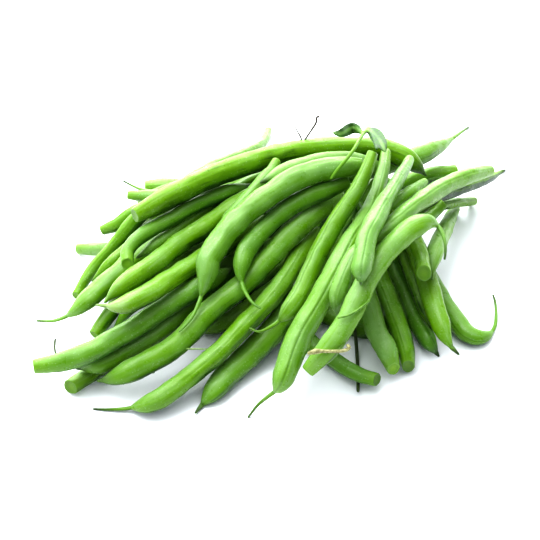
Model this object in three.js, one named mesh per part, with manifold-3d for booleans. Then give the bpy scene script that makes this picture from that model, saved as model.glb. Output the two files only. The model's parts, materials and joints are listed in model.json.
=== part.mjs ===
// Green bean bundle: a loose heap of fresh bean pods lying on a flat surface.
// Millimetres, +Z up. The front of the heap faces -Y, and the origin is the middle of its base.
import * as THREE from 'three';
import Module from 'manifold-3d';
import { mergeVertices } from 'three/addons/utils/BufferGeometryUtils.js';

// The heap is laid out as it looks from one point in front of it, above the table.
const viewTilt = THREE.MathUtils.degToRad(49); // how steeply that point looks down
const viewDistance = 800;
const aimHeight = 20; // height of the point it looks at

// Clearances and section of a pod
const touchGap = 0.4; // left between two pods that rest on each other
const sectionSides = 8;
const sutureRatio = 1.03; // half-width across the sutures over half the named width
const flankRatio = 0.93; // half-width across the flanks over half the named width
const flatSpot = 0.12; // what lies lower than this share of the half-width is pressed flat on the table

// Ends of a pod, where its own row gives nothing else
const neckShare = 0.66; // width of the cut stem end over the full width
const stemOpening = 16; // length over which it widens to the full width
const tailTaper = 12; // length over which the body narrows to the tail
const tailLength = 1.5; // thin tail past the taper
const tailWidth = 2; // width where the thin tail starts
const tipWidth = 0.9; // width of its end
const tailRings = [0, 0.04, 0.3, 0.62, 1]; // shares of the taper at which rings stand
const stemRing = 5; // distance of the second ring from the cut
const roundness = 0.8; // how bluntly the body closes, from 0, square, to 1
const rollStep = 67; // degrees by which the seam turns from one pod to the next

// Rings of vertices: one step is this far along, or this much turning, whichever comes first
const ringSpacing = 13;
const ringTurn = 0.3;
const sampleSpacing = 1.3; // spacing of the balls that stand for a pod when another rests on it
const middleShare = 0.47; // where along a pod its weight is centred
const ringClearance = 2.5; // least distance between a ring and those near the tip
const slopeLimit = 80; // mm by which one end of a pod may lie deeper than the other
const slopePasses = 24; // steps of the search for that slope
const slopePenalty = 0.1; // how much a pod keeps to one height
const bendPenalty = 0.12; // how much a pod resists bending
const bendChoices = [-9, -6, -3, 0, 3, 6, 9, 12, 16, 20, 25, 30]; // mm of bend over what carries it
const twistChoices = [-6, 0, 6]; // mm by which the bend may be lopsided
const mergeDistance = 1e-4; // corners closer than this are one

const colours = {
  pod: 0x6fa52c,
  pod_pale: 0x9cc65a,
  pod_dark: 0x4c7a1f,
  leaf: 0x4f7f2b,
  dry_stalk: 0xb7a55e,
  dark_stalk: 0x3f4d24,
};

// Pods hidden inside the heap: seen from above, [x, y] in mm from stem to tip.
// They are dropped in this order.
const corePods = [
  { name: 'core_floor_back', width: 9, plan: [[-58, 66], [-20, 62], [22, 63], [60, 70]] },
  { name: 'core_floor_middle', width: 9.5, plan: [[64, 34], [20, 40], [-24, 40], [-62, 34]] },
  { name: 'core_floor_front', width: 9, plan: [[-58, 4], [-25, 9], [4, 2], [24, -12], [42, -20], [62, -16]] },
  { name: 'core_upper_back', width: 9.5, plan: [[-60, 54], [-20, 58], [20, 58], [60, 52]] },
];

// Pods in sight, in the order in which they are laid. A path is [across, up] in mm as seen from
// the viewpoint, from stem to tip. neck is the width of the cut and opening the length over which
// the pod widens from it. taper is the length over which the body narrows towards the tip and tail
// the length of the thin tail past it. turn is the angle in degrees from the side that faces the
// viewpoint to the seam, and tone picks the colour.
const laidPods = [
  { name: 'under_1', width: 8, tone: 'pod_dark',
    path: [[-46, -12], [-36, -7], [-24, -9], [-12, -9.5], [-5, -7], [4, 0], [12, 9], [19, 18],
      [26, 28]] },
  { name: 'under_2', width: 8, tone: 'pod_dark',
    path: [[15, -12], [20.6, -2], [26, 5], [31.5, 15.2], [38, 26], [45.7, 37], [52, 45]] },
  { name: 'under_3', width: 8, tone: 'pod_dark',
    path: [[-60, 14], [-50, 20], [-38, 19], [-25, 14], [-10, 14], [0, 18], [10, 24]] },
  { name: 'back_1', width: 6.5, neck: 4.5, tone: 'pod_pale',
    path: [[-83.6, 9.2], [-75, 9], [-50, 8.5], [-10, 10], [10, 12]] },
  { name: 'back_2', width: 7, tail: 16,
    path: [[10, 38], [-20, 34], [-40, 32.5], [-50, 33.8], [-57, 35.4], [-63.6, 38.6]] },
  { name: 'back_3', width: 6.5, neck: 4,
    path: [[-61.5, 32.6], [-50, 32], [-30, 31.5], [-10, 33], [25, 40]] },
  { name: 'back_4', width: 7, neck: 4.6,
    path: [[-72.8, 17.2], [-66, 20], [-59, 24.5], [-45, 31], [-5, 43], [18, 45]] },
  { name: 'top_2', width: 5.4, neck: 3.7,
    path: [[-0.8, 60.6], [-1.8, 57.5], [-4.5, 54], [-10, 51], [-16, 48.5], [-28, 43.5], [-48, 31]] },
  { name: 'top_3', width: 8.5, taper: 16, tail: 8,
    path: [[25, 40], [36, 42], [48, 45], [60, 48], [66, 50], [72, 53], [78, 56.4], [86.2, 62]] },
  { name: 'left_1', width: 7, neck: 4.6, opening: 40, turn: -20,
    path: [[-84, -11.2], [-80.6, -5], [-77.2, 0], [-72.8, 5], [-68, 10], [-64, 15], [-59.5, 20.5],
      [-50, 29], [-36, 37]] },
  { name: 'left_2', width: 6.5, path: [[-34, 31], [-50, 19.5], [-62, 8.8], [-70, 2], [-77.2, -4.8]] },
  { name: 'left_3', width: 6.8, neck: 4.8,
    path: [[-76.2, -28.2], [-72.5, -23], [-68.5, -17.5], [-61, -10], [-41, 3], [-30, 9]] },
  { name: 'left_4', width: 6, path: [[-22, 12], [-39, 0], [-60, -16], [-68, -26]] },
  { name: 'left_5', width: 7.5, neck: 6.6,
    path: [[-86.6, -51], [-80, -46.5], [-72, -41], [-52, -28], [-24, -9]] },
  { name: 'right_1', width: 7, neck: 5.4,
    path: [[46.4, -47.7], [40, -46], [34, -43.3], [28, -39.5], [20, -33], [0, -14]] },
  { name: 'right_2', width: 8.6, tail: 16, turn: 30,
    path: [[56, 22], [63, 9], [70, -5], [75.5, -14], [80, -20.5], [84, -25.5], [87.5, -28.6],
      [91.5, -29.4], [95, -28.3], [97.6, -25], [98.3, -19], [97.9, -14], [97, -11]] },
  { name: 'right_3', width: 5, tone: 'pod_dark', path: [[57, -3], [49, 11], [41, 25], [36, 34]] },
  { name: 'right_4', width: 8, taper: 9,
    path: [[46, 18], [52, 5], [58, -10], [63, -20.5], [68, -30], [73.3, -37.4]] },
  { name: 'right_5', width: 6.5, tone: 'pod_dark', path: [[52, 21], [58, 8], [65, -11], [70.5, -26]] },
  { name: 'right_6', width: 9, taper: 18, tail: 4,
    path: [[58, 20], [64, 8], [68, -3], [70.5, -13], [73, -20], [75.5, -27], [78.3, -32.8],
      [82, -36.7]] },
  { name: 'right_7', width: 9.2, neck: 6,
    path: [[60.1, -41.8], [59.3, -36], [57.8, -30], [54.3, -20], [50.4, -10], [46, 1], [36, 22]] },
  { name: 'right_8', width: 9.2, neck: 5.5, opening: 12,
    path: [[53.6, -43], [50.8, -35.5], [48, -30], [45.6, -24.5], [43.8, -18], [41.5, -10], [37, -1],
      [32, 7]] },
  { name: 'right_9', width: 7.6, tone: 'pod_pale',
    path: [[80.3, 26.5], [77.5, 21], [74.5, 14.5], [72, 8], [70.5, 2], [70.5, -4]] },
  { name: 'right_10', width: 5, neck: 4.4, tone: 'pod_dark',
    path: [[88.4, 29.9], [80, 29], [70, 27], [59, 24], [40, 20]] },
  { name: 'right_11', width: 7, taper: 18, tone: 'pod_dark',
    path: [[45, 24], [65, 30], [79, 35], [88, 37.8], [95, 40], [102.2, 43.4]] },
  { name: 'upper_1', width: 7.5, path: [[81, 43.5], [70, 41.5], [60, 38.5], [52, 34]] },
  { name: 'upper_2', width: 6.5, path: [[67, 38], [60, 33], [50, 24], [46, 18]] },
  { name: 'right_12', width: 6, path: [[75.8, 29], [72, 25.5], [66, 20], [56, 12]] },
  { name: 'right_13', width: 7.5, neck: 6.6,
    path: [[66.9, -1.4], [65.6, 5.5], [63.3, 12], [58, 20], [51, 27]] },
  { name: 'front_1', width: 6.8, neck: 5.2,
    path: [[-29.6, -25.2], [-25, -24.7], [-20, -23], [-15, -20], [-10, -16.5], [0, -9], [20, 8]] },
  { name: 'front_2', width: 10.6, taper: 15, tail: 4,
    path: [[18, -4], [10, -15], [0, -27.8], [-10, -37.6], [-17, -44], [-22, -49.3], [-27.5, -56],
      [-32.3, -62]] },
  { name: 'front_3', width: 9.2, tail: 16,
    path: [[20, 17], [12, 5], [5, -6.2], [-2, -14.6], [-10, -23], [-20, -33.5], [-30, -42.5],
      [-40, -50.3], [-47, -55.3], [-53, -58.3], [-60, -59.9], [-68, -60.7], [-76.5, -60.4]] },
  { name: 'top_4', width: 6, path: [[8, 44], [-15, 37], [-34, 30], [-46, 25]] },
  { name: 'left_6', width: 9, taper: 15, tail: 13,
    path: [[-30, 25], [-46, 14.5], [-62, 2.5], [-70, -4.8], [-78, -11.8], [-86, -18.6], [-90, -20.9],
      [-95, -22.2], [-101.3, -22.1]] },
  { name: 'left_8', width: 6.8,
    path: [[2, 44], [-5, 40], [-15, 34.2], [-22, 29.8], [-30, 24.6], [-40, 17.4], [-50, 10.6],
      [-58, 5.3]] },
  { name: 'left_7', width: 6.5, neck: 5.2,
    path: [[-62, 2.6], [-62.3, 6], [-61, 9.5], [-58, 13], [-54, 16], [-45, 21], [-35, 26.9], [-30, 29.5],
      [-20, 33.5], [-8, 37]] },
  { name: 'top_1', width: 10.6, neck: 6.8,
    path: [[-58.7, 23.7], [-45, 31], [-30, 38.3], [-15, 44.4], [0, 49.1], [15, 52], [30, 53], [45, 52.8],
      [55, 50.5], [62, 46.5], [68, 41]] },
  { name: 'left_9', width: 8.4,
    path: [[-4, 14], [-13, 5.5], [-20, -1], [-31, -11.4], [-38, -18.2], [-45, -24.5], [-55, -31],
      [-65, -36.8], [-74, -41], [-84, -43]] },
  { name: 'left_10', width: 9, neck: 6, opening: 25,
    path: [[-102.5, -42.1], [-95, -40.9], [-85, -38.3], [-75, -34.4], [-65, -28.5], [-55, -22.5],
      [-45, -16], [-30, -7], [-16, 1]] },
  { name: 'left_11', width: 9.8, neck: 5.6, taper: 15, turn: 60,
    path: [[30.3, 33.8], [25, 29], [15, 21], [5, 11.3], [-5, 0.5], [-15, -9], [-25, -16.8], [-35, -26.5],
      [-40, -32], [-45, -36], [-55, -41], [-65, -45.8], [-70, -47.5], [-75, -48.2]] },
  { name: 'left_12', width: 8.4, taper: 14,
    path: [[-4, 35], [-12, 29.8], [-22, 23], [-30, 17.5], [-40, 11], [-50, 3], [-60, -3.8], [-64, -6.8],
      [-68, -10.2], [-71.8, -14]] },
  { name: 'left_13', width: 8.6, tail: 4,
    path: [[-3, 22], [-11, 16.5], [-28, 5.8], [-40, -1.8], [-50, -8.6], [-60, -13.8], [-66, -15.8],
      [-75.3, -15.2]] },
  { name: 'middle_1', width: 6.3,
    path: [[2.8, 47.4], [1.2, 44.2], [-1.5, 41], [-5, 36.8], [-10, 31], [-16, 24.5], [-24, 13]] },
  { name: 'middle_2', width: 7, tone: 'pod_pale',
    path: [[50, 43], [35, 48], [20, 47], [4, 42], [-4, 38]] },
  { name: 'middle_3', width: 8.3, taper: 13, tail: 14, turn: 55,
    path: [[34, 38.5], [20, 32.8], [10, 28.2], [0, 20.6], [-4, 16.6], [-8, 12.2], [-11, 7.5],
      [-12.3, 3], [-12.8, -1], [-11.8, -7], [-10, -11], [-7.5, -14.3], [-4.3, -16.6]] },
  { name: 'middle_4', width: 10.2, taper: 18, tail: 18,
    path: [[40, 45], [28, 44.2], [20, 42.8], [10, 38.8], [0, 32.7], [-10, 25], [-18.5, 16.7],
      [-23.5, 10], [-26.8, 4.5], [-28, -2], [-29.3, -9.5], [-31.5, -16], [-34.5, -21.5],
      [-39.3, -26.7]] },
  { name: 'middle_5', width: 8.7, neck: 4.8, opening: 50, taper: 10, tail: 14, turn: 35,
    path: [[44.6, 50.8], [42.5, 45], [37.9, 35], [34.8, 30], [28.4, 20], [22.8, 10], [18, 0], [15.9, -5],
      [13.3, -10], [10, -15.5], [5.5, -20.8], [0, -25], [-5, -26.8], [-8.7, -25.4]] },
  { name: 'middle_6', width: 11.4, neck: 5, opening: 85, taper: 10, tail: 16, turn: 0,
    path: [[50.4, 51], [49.6, 45], [47, 35], [42.8, 25], [36.5, 15], [31.4, 5], [26.3, -5], [20.8, -15],
      [14.6, -25], [10.2, -35], [8, -41], [6.4, -46], [3, -52], [-2, -55.8], [-5.5, -59], [-9.4, -64]] },
  { name: 'middle_8', width: 8.4, turn: 10,
    path: [[95.4, 43.2], [85, 40.4], [75, 36], [65, 29.3], [55, 21.5], [45, 13], [36, 5], [32.5, -3],
      [30, -9], [29, -14], [29.4, -20.5]] },
  { name: 'middle_7', width: 9, neck: 5.8, taper: 11, tail: 15, turn: 75,
    path: [[16.5, -43.8], [22.5, -37], [28.3, -30], [34.5, -20], [39.5, -10], [44.8, 0], [50, 7.5],
      [55, 12.5], [60, 17], [65, 20], [69.5, 20.7], [73, 19], [75.5, 14.5], [76.4, 9.5], [76, 4.8]] },
  { name: 'middle_9', width: 9.3, neck: 4.6, opening: 45, taper: 6, turn: 0, tone: 'pod_pale',
    path: [[60.7, 48], [56, 39.5], [50.3, 30], [44.9, 20], [42.5, 14.5], [41.2, 9.5], [40.2, 4],
      [39.7, -1], [39.5, -6.3]] },
];

// Thin stalks of even width, with an optional knot of knotWidth near the start. They are laid after
// the pods, or before them where beneath is set.
const knotPlace = 3.5; // distance of the knot from the start
const knotSpread = 1.6; // length of the knot
const stalks = [
  { name: 'stalk_dark', width: 1.7, tone: 'dark_stalk', beneath: true,
    path: [[38.3, -53], [38.2, -43], [37.6, -33], [36.6, -23]] },
  { name: 'stalk_dry', width: 1.3, knotWidth: 2.6, tone: 'dry_stalk',
    path: [[16.5, -36.4], [20, -35.4], [26, -35.4], [31.5, -35.2], [34.8, -34], [33.6, -32.6]] },
  { name: 'stalk_curl', width: 0.9, tone: 'pod',
    path: [[29.4, -20.8], [33, -20.4], [36.5, -18.8], [40, -16.2], [43.2, -13.4]] },
  { name: 'stalk_thin', width: 0.8, tone: 'dark_stalk', beneath: true,
    path: [[-93, -36.8], [-93.8, -34.4], [-93.9, -32], [-93.3, -29.8]] },
];
const knottedSpacing = 1.6; // distance between the rings of a stalk with a knot
const plainSpacing = 6; // and of one without
const thinSides = 6; // sides of a stalk

// Leafy sprig on top of the heap: two stalks and two small leaves that grow from them
const sprigStalkWidth = 1.3;
const leafThickness = 0.7;
const leafFoot = 1; // width of a leaf's foot and of its tip
const leafFullness = 0.8; // how full a leaf's outline is, from 1, slender, down
const leafSpacing = 2.6; // distance between the rings of a leaf
const sprigSpacing = 5; // and of the sprig's stalks
const sprigStrokes = [
  { kind: 'stalk',
    path: [[26.5, 39.6], [30.4, 44.8], [34.8, 50], [38.3, 55.2], [39.9, 58.6], [42.6, 61.5]] },
  { kind: 'stalk', path: [[42.6, 61.5], [44.6, 58.5], [46.4, 52.4]] },
  { kind: 'leaf', width: 5.4,
    path: [[40, 59.4], [38.2, 61.2], [36, 61.9], [33.4, 60.6], [30.6, 59.2], [27.4, 59.7]] },
  { kind: 'leaf', width: 6.2, path: [[42.4, 61.5], [45.4, 59.4], [48.2, 55.8], [50.2, 51.2]] },
];

// Viewpoint and its own axes
const viewAxis = new THREE.Vector3(0, Math.cos(viewTilt), -Math.sin(viewTilt));
const viewRight = new THREE.Vector3(1, 0, 0);
const viewUp = new THREE.Vector3(0, Math.sin(viewTilt), Math.cos(viewTilt));
const viewpoint = new THREE.Vector3(0, 0, aimHeight).addScaledVector(viewAxis, -viewDistance);

const balls = []; // every pod laid so far, as balls { centre, radius } along its axis

// Width of a pod at a distance from its cut end. The body closes towards the tail in a rounded curve.
function podWidth(pod) {
  const { width, neck = width * neckShare, opening = stemOpening } = pod;
  const { taper = tailTaper, tail = tailLength } = pod;
  return (along, length) => {
    const openness = Math.sin((Math.min(1, along / opening) * Math.PI) / 2);
    const opened = THREE.MathUtils.lerp(neck, width, openness);
    const toTip = length - along;
    const closing = 1 - THREE.MathUtils.clamp((toTip - tail) / taper, 0, 1);
    const thin = THREE.MathUtils.lerp(tipWidth, tailWidth, Math.min(1, toTip / tail));
    return Math.max(thin, opened * (1 - closing ** 2) ** roundness);
  };
}

// Width of a stalk, with its knot a short way from the start
function stalkWidth({ width, knotWidth = width }) {
  return (along) => width + (knotWidth - width) * Math.exp(-(((along - knotPlace) / knotSpread) ** 2));
}

// Width of a small leaf: narrow at its foot, widest before the middle and pointed
function leafWidth({ width }) {
  return (along, length) => (
    leafFoot + (width - leafFoot) * Math.sin(Math.PI * (along / length) ** leafFullness) ** leafFullness);
}

// Distances along a pod's path at which its rings of vertices stand. They crowd where it turns and
// near the tip.
const podStations = ({ taper = tailTaper, tail = tailLength }) => (curve, length) => {
  const steps = Math.ceil(length);
  const nearTip = [...tailRings.map((share) => length - tail - share * taper), length];
  const stations = [0, stemRing];
  let travelled = 0;
  let turned = 0;
  let previous = curve.getTangentAt(0);
  for (let step = 1; step <= steps; step += 1) {
    const along = (step / steps) * length;
    const tangent = curve.getTangentAt(step / steps);
    turned += previous.angleTo(tangent);
    travelled += length / steps;
    previous = tangent;
    const due = travelled / ringSpacing + turned / ringTurn >= 1;
    const clearOfStem = along > stemRing + ringClearance;
    const clearOfEnds = clearOfStem && nearTip.every((other) => Math.abs(other - along) > ringClearance);
    if (due && clearOfEnds) {
      stations.push(along);
      travelled = 0;
      turned = 0;
    }
  }
  return [...stations, ...nearTip].sort((a, b) => a - b);
};

// Corner points of an axis in its flat layout, with the half-width at each
function layoutRings(points, widthAt, stationsOf) {
  const corners = points.map(([a, b]) => new THREE.Vector3(a, b, 0));
  const curve = new THREE.CatmullRomCurve3(corners, false, 'centripetal');
  const length = curve.getLength();
  return stationsOf(curve, length).map((along) => ({
    along: along / length,
    flat: curve.getPointAt(along / length),
    radius: (widthAt(along, length) / 2) * sutureRatio,
  }));
}

// Even stations for stalks and leaves
function evenStations(spacing) {
  return (curve, length) => {
    const count = Math.ceil(length / spacing);
    return Array.from({ length: count + 1 }, (_, index) => (index / count) * length);
  };
}

// Points along the straight stretches between rings, close enough to stand for the whole pod
function samplesOf(rings) {
  const samples = [];
  rings.slice(1).forEach((ring, index) => {
    const start = rings[index];
    const count = Math.max(1, Math.ceil(start.flat.distanceTo(ring.flat) / sampleSpacing));
    for (let step = index === 0 ? 0 : 1; step <= count; step += 1) {
      const share = step / count;
      samples.push({
        along: THREE.MathUtils.lerp(start.along, ring.along, share),
        flat: start.flat.clone().lerp(ring.flat, share),
        radius: THREE.MathUtils.lerp(start.radius, ring.radius, share),
        between: [index, index + 1, share],
      });
    }
  });
  return samples;
}

// A pod comes to rest on two places, one to each side of its middle, and bends a little over what
// carries it. Each limit is how far that sample may travel. The result is how far each ring travels.
function restOn(rings, samples, limits) {
  const bendAt = (along) => (2 * (along - middleShare)) ** 2 - 1 / 3;
  const twistAt = (along) => (2 * (along - middleShare)) ** 3 - 0.6 * 2 * (along - middleShare);
  const shapes = rings.map(({ along }) => [along - middleShare, bendAt(along), twistAt(along)]);
  const sampleShapes = samples.map(({ between: [a, b, share] }) => (
    shapes[a].map((value, index) => THREE.MathUtils.lerp(value, shapes[b][index], share))));
  const room = (slope, bend, twist) => {
    let least = Infinity;
    sampleShapes.forEach((shape, index) => {
      least = Math.min(least, limits[index] - slope * shape[0] - bend * shape[1] - twist * shape[2]);
    });
    return least;
  };
  let best = null;
  for (const bend of bendChoices) {
    for (const twist of twistChoices) {
      let low = -slopeLimit;
      let high = slopeLimit;
      for (let pass = 0; pass < slopePasses; pass += 1) {
        const third = (high - low) / 3;
        const nearer = room(low + third, bend, twist) - Math.abs(low + third) * slopePenalty;
        const farther = room(high - third, bend, twist) - Math.abs(high - third) * slopePenalty;
        if (nearer < farther) low += third;
        else high -= third;
      }
      const slope = (low + high) / 2;
      const travel = room(slope, bend, twist);
      const bending = (Math.abs(bend) + Math.abs(twist)) * bendPenalty;
      const score = travel - bending - Math.abs(slope) * slopePenalty;
      if (best === null || score > best.score) best = { score, travel, slope, bend, twist };
    }
  }
  const { travel, slope, bend, twist } = best;
  return shapes.map((shape) => travel + slope * shape[0] + bend * shape[1] + twist * shape[2]);
}

// Axis points of a hidden pod, dropped straight down
function dropPod(pod) {
  const rings = layoutRings(pod.plan, podWidth(pod), podStations(pod));
  const samples = samplesOf(rings);
  const limits = samples.map(({ flat, radius }) => {
    let height = 0;
    for (const ball of balls) {
      const reach = ball.radius + radius + touchGap;
      const offset = Math.hypot(ball.centre.x - flat.x, ball.centre.y - flat.y);
      const rise = Math.sqrt(Math.max(0, reach ** 2 - offset ** 2));
      if (offset < reach) height = Math.max(height, ball.centre.z + rise - radius);
    }
    return -height;
  });
  const travels = restOn(rings, samples, limits);
  return rings.map((ring, index) => ({
    centre: new THREE.Vector3(ring.flat.x, ring.flat.y, ring.radius - travels[index]),
    radius: ring.radius,
  }));
}

// Line of sight through a layout point
function sightLine(flat) {
  const aim = viewAxis.clone().multiplyScalar(viewDistance);
  return aim.addScaledVector(viewRight, flat.x).addScaledVector(viewUp, flat.y);
}

// Share of the line of sight at which a ball lies on the table
function tableShare(line, radius) {
  return (radius - viewpoint.z) / line.z;
}

// Axis points of something in sight, moved away from the viewpoint until it rests
function layRings(rings, samples) {
  const limits = samples.map(({ flat, radius }) => {
    const line = sightLine(flat);
    const lineSquared = line.lengthSq();
    const table = tableShare(line, radius);
    let share = table;
    for (const ball of balls) {
      const reach = ball.radius + radius + touchGap;
      const toBall = ball.centre.clone().sub(viewpoint);
      const nearest = toBall.dot(line) / lineSquared;
      const missSquared = toBall.lengthSq() - nearest ** 2 * lineSquared;
      const back = Math.sqrt(Math.max(0, reach ** 2 - missSquared) / lineSquared);
      if (missSquared < reach ** 2) share = Math.min(share, nearest - back);
    }
    return (share - table) * viewDistance;
  });
  const travels = restOn(rings, samples, limits);
  return rings.map((ring, index) => {
    const line = sightLine(ring.flat);
    const share = tableShare(line, ring.radius) + travels[index] / viewDistance;
    return { centre: viewpoint.clone().addScaledVector(line, share), radius: ring.radius };
  });
}

function layPod(pod) {
  const rings = layoutRings(pod.path, podWidth(pod), podStations(pod));
  return layRings(rings, samplesOf(rings));
}

// Keep the balls of a pod that has come to rest
function remember(axis) {
  axis.slice(1).forEach((ring, index) => {
    const start = axis[index];
    const count = Math.max(1, Math.ceil(start.centre.distanceTo(ring.centre) / sampleSpacing));
    for (let step = 0; step <= count; step += 1) {
      const share = step / count;
      balls.push({
        centre: start.centre.clone().lerp(ring.centre, share),
        radius: THREE.MathUtils.lerp(start.radius, ring.radius, share),
      });
    }
  });
}

// Half-width across the flanks of a pod for a half-width across its sutures
const flankOf = (radius) => radius * (flankRatio / sutureRatio);

// Closed skin around an axis: an oval ring at every corner point and a fan over each end
function skinOf(axis, turnDegrees, sides = sectionSides, flankWidth = flankOf) {
  const positions = [];
  const indices = [];
  const turn = THREE.MathUtils.degToRad(turnDegrees);
  axis.forEach(({ centre, radius }, index) => {
    const before = axis[Math.max(0, index - 1)].centre;
    const after = axis[Math.min(axis.length - 1, index + 1)].centre;
    const tangent = after.clone().sub(before).normalize();
    const toViewer = viewpoint.clone().sub(centre);
    const facing = toViewer.addScaledVector(tangent, -toViewer.dot(tangent)).normalize();
    const sideways = tangent.clone().cross(facing);
    for (let side = 0; side < sides; side += 1) {
      const angle = (side / sides) * 2 * Math.PI;
      const seam = Math.cos(angle) * radius;
      const flank = Math.sin(angle) * flankWidth(radius);
      const point = centre.clone()
        .addScaledVector(facing, seam * Math.cos(turn) - flank * Math.sin(turn))
        .addScaledVector(sideways, seam * Math.sin(turn) + flank * Math.cos(turn));
      positions.push(point.x, point.y, point.z < radius * flatSpot ? 0 : point.z);
    }
  });
  const poles = [axis[0], axis[axis.length - 1]].map(({ centre }) => {
    positions.push(centre.x, centre.y, centre.z);
    return positions.length / 3 - 1;
  });
  const last = (axis.length - 1) * sides;
  for (let side = 0; side < sides; side += 1) {
    const next = (side + 1) % sides;
    indices.push(poles[0], next, side, poles[1], last + side, last + next);
    for (let ring = 0; ring < last; ring += sides) {
      const [a, b, c, d] = [ring + side, ring + next, ring + sides + side, ring + sides + next];
      indices.push(a, b, d, a, d, c);
    }
  }
  const geometry = new THREE.BufferGeometry();
  geometry.setAttribute('position', new THREE.Float32BufferAttribute(positions, 3));
  geometry.setIndex(indices);
  return geometry;
}

function meshOf(name, geometry, tone) {
  geometry.computeVertexNormals();
  const look = { color: colours[tone], roughness: 0.42, metalness: 0, flatShading: true };
  const mesh = new THREE.Mesh(geometry, new THREE.MeshStandardMaterial(look));
  mesh.name = name;
  return mesh;
}

const bundle = new THREE.Group();

function placePod(pod, index, settle) {
  const axis = settle(pod);
  remember(axis);
  const turn = pod.turn ?? (index * rollStep) % 180;
  bundle.add(meshOf(`pod_${pod.name}`, skinOf(axis, turn), pod.tone ?? 'pod'));
}

// A stalk is laid in the same way as a pod, and is as thick as it is wide
function placeStalk(stalk) {
  const stations = evenStations(stalk.knotWidth ? knottedSpacing : plainSpacing);
  const rings = layoutRings(stalk.path, stalkWidth(stalk), stations);
  const axis = layRings(rings, samplesOf(rings));
  remember(axis);
  bundle.add(meshOf(stalk.name, skinOf(axis, 0, thinSides, (radius) => radius), stalk.tone));
}

corePods.forEach((pod, index) => placePod(pod, index, dropPod));
stalks.filter(({ beneath }) => beneath).forEach(placeStalk);
laidPods.forEach((pod, index) => placePod(pod, corePods.length + index, layPod));
stalks.filter(({ beneath }) => !beneath).forEach(placeStalk);

// The sprig is settled as one stiff thing, then its strokes are joined
const wasm = await Module();
wasm.setup();

function toSolid(geometry) {
  const merged = mergeVertices(geometry.deleteAttribute('normal'), mergeDistance);
  return new wasm.Manifold(new wasm.Mesh({
    numProp: 3,
    vertProperties: Float32Array.from(merged.getAttribute('position').array),
    triVerts: Uint32Array.from(merged.index.array),
  }));
}

function fromSolid(solid) {
  const { vertProperties, triVerts } = solid.getMesh();
  const geometry = new THREE.BufferGeometry();
  geometry.setAttribute('position', new THREE.BufferAttribute(vertProperties, 3));
  geometry.setIndex(new THREE.BufferAttribute(triVerts, 1));
  return geometry;
}

function makeSprig() {
  const strokes = sprigStrokes.map((stroke) => layoutRings(
    stroke.path,
    stroke.kind === 'leaf' ? leafWidth(stroke) : stalkWidth({ width: sprigStalkWidth }),
    evenStations(stroke.kind === 'leaf' ? leafSpacing : sprigSpacing),
  ));
  const heights = strokes.flat().map((ring) => ring.flat.y);
  const low = Math.min(...heights);
  const high = Math.max(...heights);
  strokes.flat().forEach((ring) => { ring.along = (ring.flat.y - low) / (high - low); });
  let first = 0;
  const samples = strokes.flatMap((rings) => {
    const own = samplesOf(rings).map((sample) => ({
      ...sample, between: [sample.between[0] + first, sample.between[1] + first, sample.between[2]] }));
    first += rings.length;
    return own;
  });
  const axis = layRings(strokes.flat(), samples);
  let taken = 0;
  const solids = strokes.map((rings, index) => {
    const own = axis.slice(taken, taken + rings.length);
    taken += rings.length;
    const leaf = sprigStrokes[index].kind === 'leaf';
    const thickness = (radius) => (leaf ? leafThickness / 2 : radius);
    const sides = leaf ? sectionSides : thinSides;
    return toSolid(skinOf(own, leaf ? 90 : 0, sides, thickness));
  });
  return fromSolid(solids.reduce((whole, solid) => whole.add(solid)));
}
bundle.add(meshOf('sprig', makeSprig(), 'leaf'));

// Bring the middle of the base to the origin
const box = new THREE.Box3().setFromObject(bundle);
bundle.position.set(-(box.min.x + box.max.x) / 2, -(box.min.y + box.max.y) / 2, -box.min.z);

export default bundle;
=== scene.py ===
import json
import math
import random

import bmesh
import bpy
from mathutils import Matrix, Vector, geometry


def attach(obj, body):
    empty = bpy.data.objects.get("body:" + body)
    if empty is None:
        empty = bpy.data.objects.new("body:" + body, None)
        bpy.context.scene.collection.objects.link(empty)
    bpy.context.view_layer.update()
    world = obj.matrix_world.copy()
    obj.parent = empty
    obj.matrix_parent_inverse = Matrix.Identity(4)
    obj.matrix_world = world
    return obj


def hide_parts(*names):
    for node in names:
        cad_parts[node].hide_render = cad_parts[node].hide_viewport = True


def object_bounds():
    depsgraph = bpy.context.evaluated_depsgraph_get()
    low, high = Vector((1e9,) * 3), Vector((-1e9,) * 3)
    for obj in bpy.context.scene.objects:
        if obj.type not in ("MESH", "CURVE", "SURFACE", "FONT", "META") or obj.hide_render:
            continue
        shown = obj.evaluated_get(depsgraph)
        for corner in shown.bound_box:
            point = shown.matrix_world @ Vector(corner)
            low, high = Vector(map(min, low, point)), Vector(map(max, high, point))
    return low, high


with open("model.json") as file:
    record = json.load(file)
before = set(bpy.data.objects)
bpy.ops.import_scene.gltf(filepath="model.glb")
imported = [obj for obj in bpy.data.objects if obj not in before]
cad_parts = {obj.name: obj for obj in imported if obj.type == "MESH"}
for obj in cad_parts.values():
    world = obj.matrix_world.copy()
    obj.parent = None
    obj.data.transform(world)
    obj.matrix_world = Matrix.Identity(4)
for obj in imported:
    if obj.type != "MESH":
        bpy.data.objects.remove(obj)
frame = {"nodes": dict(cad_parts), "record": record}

# Green bean bundle: every pod, stalk and leaf of the heap gets its fine skin here.
# Metres, in the same place as the solids they stand for.

cadBox = [list(corner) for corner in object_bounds()]
scene = bpy.context.scene
mm = 0.001
boxMargin = 0.01 * mm  # every piece stays this far inside the solids' box
weldDistance = 0.002 * mm  # corners of a solid nearer than this are one corner

# Camera

cameraLook = {
    "aim": (-0.0045, -0.0208, 0.020),  # middle of the view, 20 mm over the table
    "distance": 0.8,
    "tiltDegrees": 49,
    "lensMm": 122.7,
    "sensorMm": 36,
    "nearest": 0.01,
}


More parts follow.
